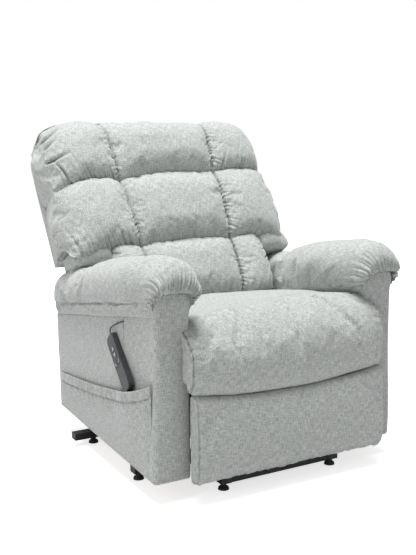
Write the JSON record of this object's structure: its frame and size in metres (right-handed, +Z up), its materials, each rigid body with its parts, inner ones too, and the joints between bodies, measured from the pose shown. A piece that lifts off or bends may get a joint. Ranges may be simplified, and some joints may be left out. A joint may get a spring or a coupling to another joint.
{
  "type": "lift recliner chair",
  "caption": "Upholstered armchair on a powered lift base, with a reclining three-row pillow back, a folding legrest, padded arms, a side pocket and a corded handset.",
  "frame": {"origin": "on the floor, under the middle of the chair's box", "axes": "+Z up, -Y the way the sitter faces, +X to the sitter's left; X is the short side of the box, Y the long one"},
  "size_m": [0.899, 1.104, 1.0781],
  "materials": {
    "fabric": "woven melange upholstery",
    "lining": "plain woven lining",
    "frame_steel": "satin black powder coat",
    "link_steel": "dark grey powder coat",
    "bright_steel": "zinc plated",
    "plywood": "bare plywood",
    "rubber": "matt",
    "black_plastic": "fine textured",
    "handset_plastic": "soft satin",
    "key_plastic": "soft satin"
  },
  "bodies": {
    "base": {"base_rail_left": "frame_steel", "base_rail_right": "frame_steel", "base_cross_front": "frame_steel", "base_cross_middle": "frame_steel", "base_cross_rear": "frame_steel", "base_feet": "rubber", "tube_plugs": "black_plastic", "base_bolts": "bright_steel"},
    "lift_arms": {"lift_arm_left": "link_steel", "lift_arm_right": "link_steel", "lift_torque_tube": "link_steel"},
    "guide_links": {"guide_link_left": "link_steel", "guide_link_right": "link_steel"},
    "lift_motor": {"lift_motor_housing": "black_plastic"},
    "lift_rod": {"lift_motor_rod": "bright_steel"},
    "chair": {"seat_rail_left": "link_steel", "seat_rail_right": "link_steel", "seat_cross_tubes": "link_steel", "seat_bolts": "bright_steel", "seat_box": "plywood", "seat_springs": "bright_steel", "seat_cushion": "fabric", "arm_frame_left": "plywood", "arm_frame_right": "plywood", "arm_liner_left": "fabric", "arm_liner_right": "fabric", "side_panel_left": "fabric", "side_panel_right": "fabric", "arm_front_left": "fabric", "arm_front_right": "fabric", "arm_pad_left": "fabric", "arm_pad_right": "fabric", "rear_panel": "lining", "side_pocket": "fabric", "control_box": "black_plastic", "power_supply": "black_plastic", "handset_face": "handset_plastic", "handset_shell": "handset_plastic", "handset_lead": "black_plastic"},
    "button_raise": {"button_raise": "key_plastic"},
    "button_lower": {"button_lower": "key_plastic"},
    "button_back": {"button_back": "key_plastic"},
    "button_legs": {"button_legs": "key_plastic"},
    "back": {"back_frame": "plywood", "back_webbing": "lining", "back_shell": "fabric", "back_row_top": "fabric", "back_row_middle": "fabric", "back_row_bottom": "fabric"},
    "back_motor": {"back_motor_housing": "black_plastic"},
    "back_rod": {"back_motor_rod": "bright_steel"},
    "legrest_links": {"legrest_links_rear": "link_steel"},
    "legrest_front_links": {"legrest_link_front_left": "link_steel", "legrest_link_front_right": "link_steel"},
    "legrest": {"legrest_board": "plywood", "legrest_pad": "fabric"},
    "legrest_motor": {"legrest_motor_housing": "black_plastic"},
    "legrest_rod": {"legrest_motor_rod": "bright_steel"}
  },
  "joints": [
    {"name": "lift", "type": "hinge", "parent": "base", "child": "lift_arms", "pos_m": [0, -0.388, 0.15], "axis": [1, 0, 0], "range_deg": [0, 55.31]},
    {"name": "guide_turn", "type": "hinge", "parent": "base", "child": "guide_links", "pos_m": [0, -0.434, 0.122], "axis": [1, 0, 0], "range_deg": [0, 62.75]},
    {"name": "chair_tilt", "type": "hinge", "parent": "lift_arms", "child": "chair", "pos_m": [0, 0.02474, 0.20948], "axis": [-1, 0, 0], "range_deg": [0, 29.81]},
    {"name": "lift_motor_turn", "type": "hinge", "parent": "base", "child": "lift_motor", "pos_m": [0, 0.101, 0.077], "axis": [1, 0, 0], "range_deg": [0, 2.7]},
    {"name": "lift_rod_slide", "type": "slide", "parent": "lift_motor", "child": "lift_rod", "axis": [0, -0.9616, 0.2744], "range_m": [0, 0.0546]},
    {"name": "back_recline", "type": "hinge", "parent": "chair", "child": "back", "pos_m": [0, 0.084, 0.443], "axis": [-1, 0, 0], "range_deg": [0, 38]},
    {"name": "back_motor_turn", "type": "hinge", "parent": "chair", "child": "back_motor", "pos_m": [0, -0.25, 0.29], "axis": [1, 0, 0], "range_deg": [0, 1.5]},
    {"name": "back_rod_slide", "type": "slide", "parent": "back_motor", "child": "back_rod", "axis": [0, 0.9747, 0.2236], "range_m": [-0.0493, 0]},
    {"name": "legrest_raise", "type": "hinge", "parent": "chair", "child": "legrest_links", "pos_m": [0, -0.322, 0.255], "axis": [-1, 0, 0], "range_deg": [0, 94]},
    {"name": "legrest_knee", "type": "hinge", "parent": "legrest_links", "child": "legrest_front_links", "pos_m": [0, -0.308, 0.121], "axis": [1, 0, 0], "range_deg": [0, 110.5]},
    {"name": "legrest_ankle", "type": "hinge", "parent": "legrest_front_links", "child": "legrest", "pos_m": [0, -0.487, 0.283], "axis": [-1, 0, 0], "range_deg": [0, 104.5]},
    {"name": "legrest_motor_turn", "type": "hinge", "parent": "chair", "child": "legrest_motor", "pos_m": [0, 0.04, 0.262], "axis": [1, 0, 0], "range_deg": [0, 0.5]},
    {"name": "legrest_rod_slide", "type": "slide", "parent": "legrest_motor", "child": "legrest_rod", "axis": [0, -0.9947, -0.1025], "range_m": [0, 0.06]},
    {"name": "button_raise_press", "type": "slide", "parent": "chair", "child": "button_raise", "axis": [1, 0, 0], "range_m": [0, 0.001], "stiffness_N_per_m": 800},
    {"name": "button_lower_press", "type": "slide", "parent": "chair", "child": "button_lower", "axis": [1, 0, 0], "range_m": [0, 0.001], "stiffness_N_per_m": 800},
    {"name": "button_back_press", "type": "slide", "parent": "chair", "child": "button_back", "axis": [1, 0, 0], "range_m": [0, 0.001], "stiffness_N_per_m": 800},
    {"name": "button_legs_press", "type": "slide", "parent": "chair", "child": "button_legs", "axis": [1, 0, 0], "range_m": [0, 0.001], "stiffness_N_per_m": 800}
  ],
  "couplings": [
    {"joint": "guide_turn", "follows": "lift", "ratio": 1.1254},
    {"joint": "chair_tilt", "follows": "lift", "ratio": 0.52994},
    {"joint": "lift_motor_turn", "follows": "lift", "ratio": 0.045849},
    {"joint": "lift_rod_slide", "follows": "lift", "m_per_rad": 0.056367},
    {"joint": "back_motor_turn", "follows": "back_recline", "ratio": 0.035289},
    {"joint": "back_rod_slide", "follows": "back_recline", "m_per_rad": -0.074067},
    {"joint": "legrest_knee", "follows": "legrest_raise", "ratio": 1.1702},
    {"joint": "legrest_ankle", "follows": "legrest_raise", "ratio": 1.1064},
    {"joint": "legrest_motor_turn", "follows": "legrest_raise", "ratio": 0.004106},
    {"joint": "legrest_rod_slide", "follows": "legrest_raise", "m_per_rad": 0.036417}
  ]
}
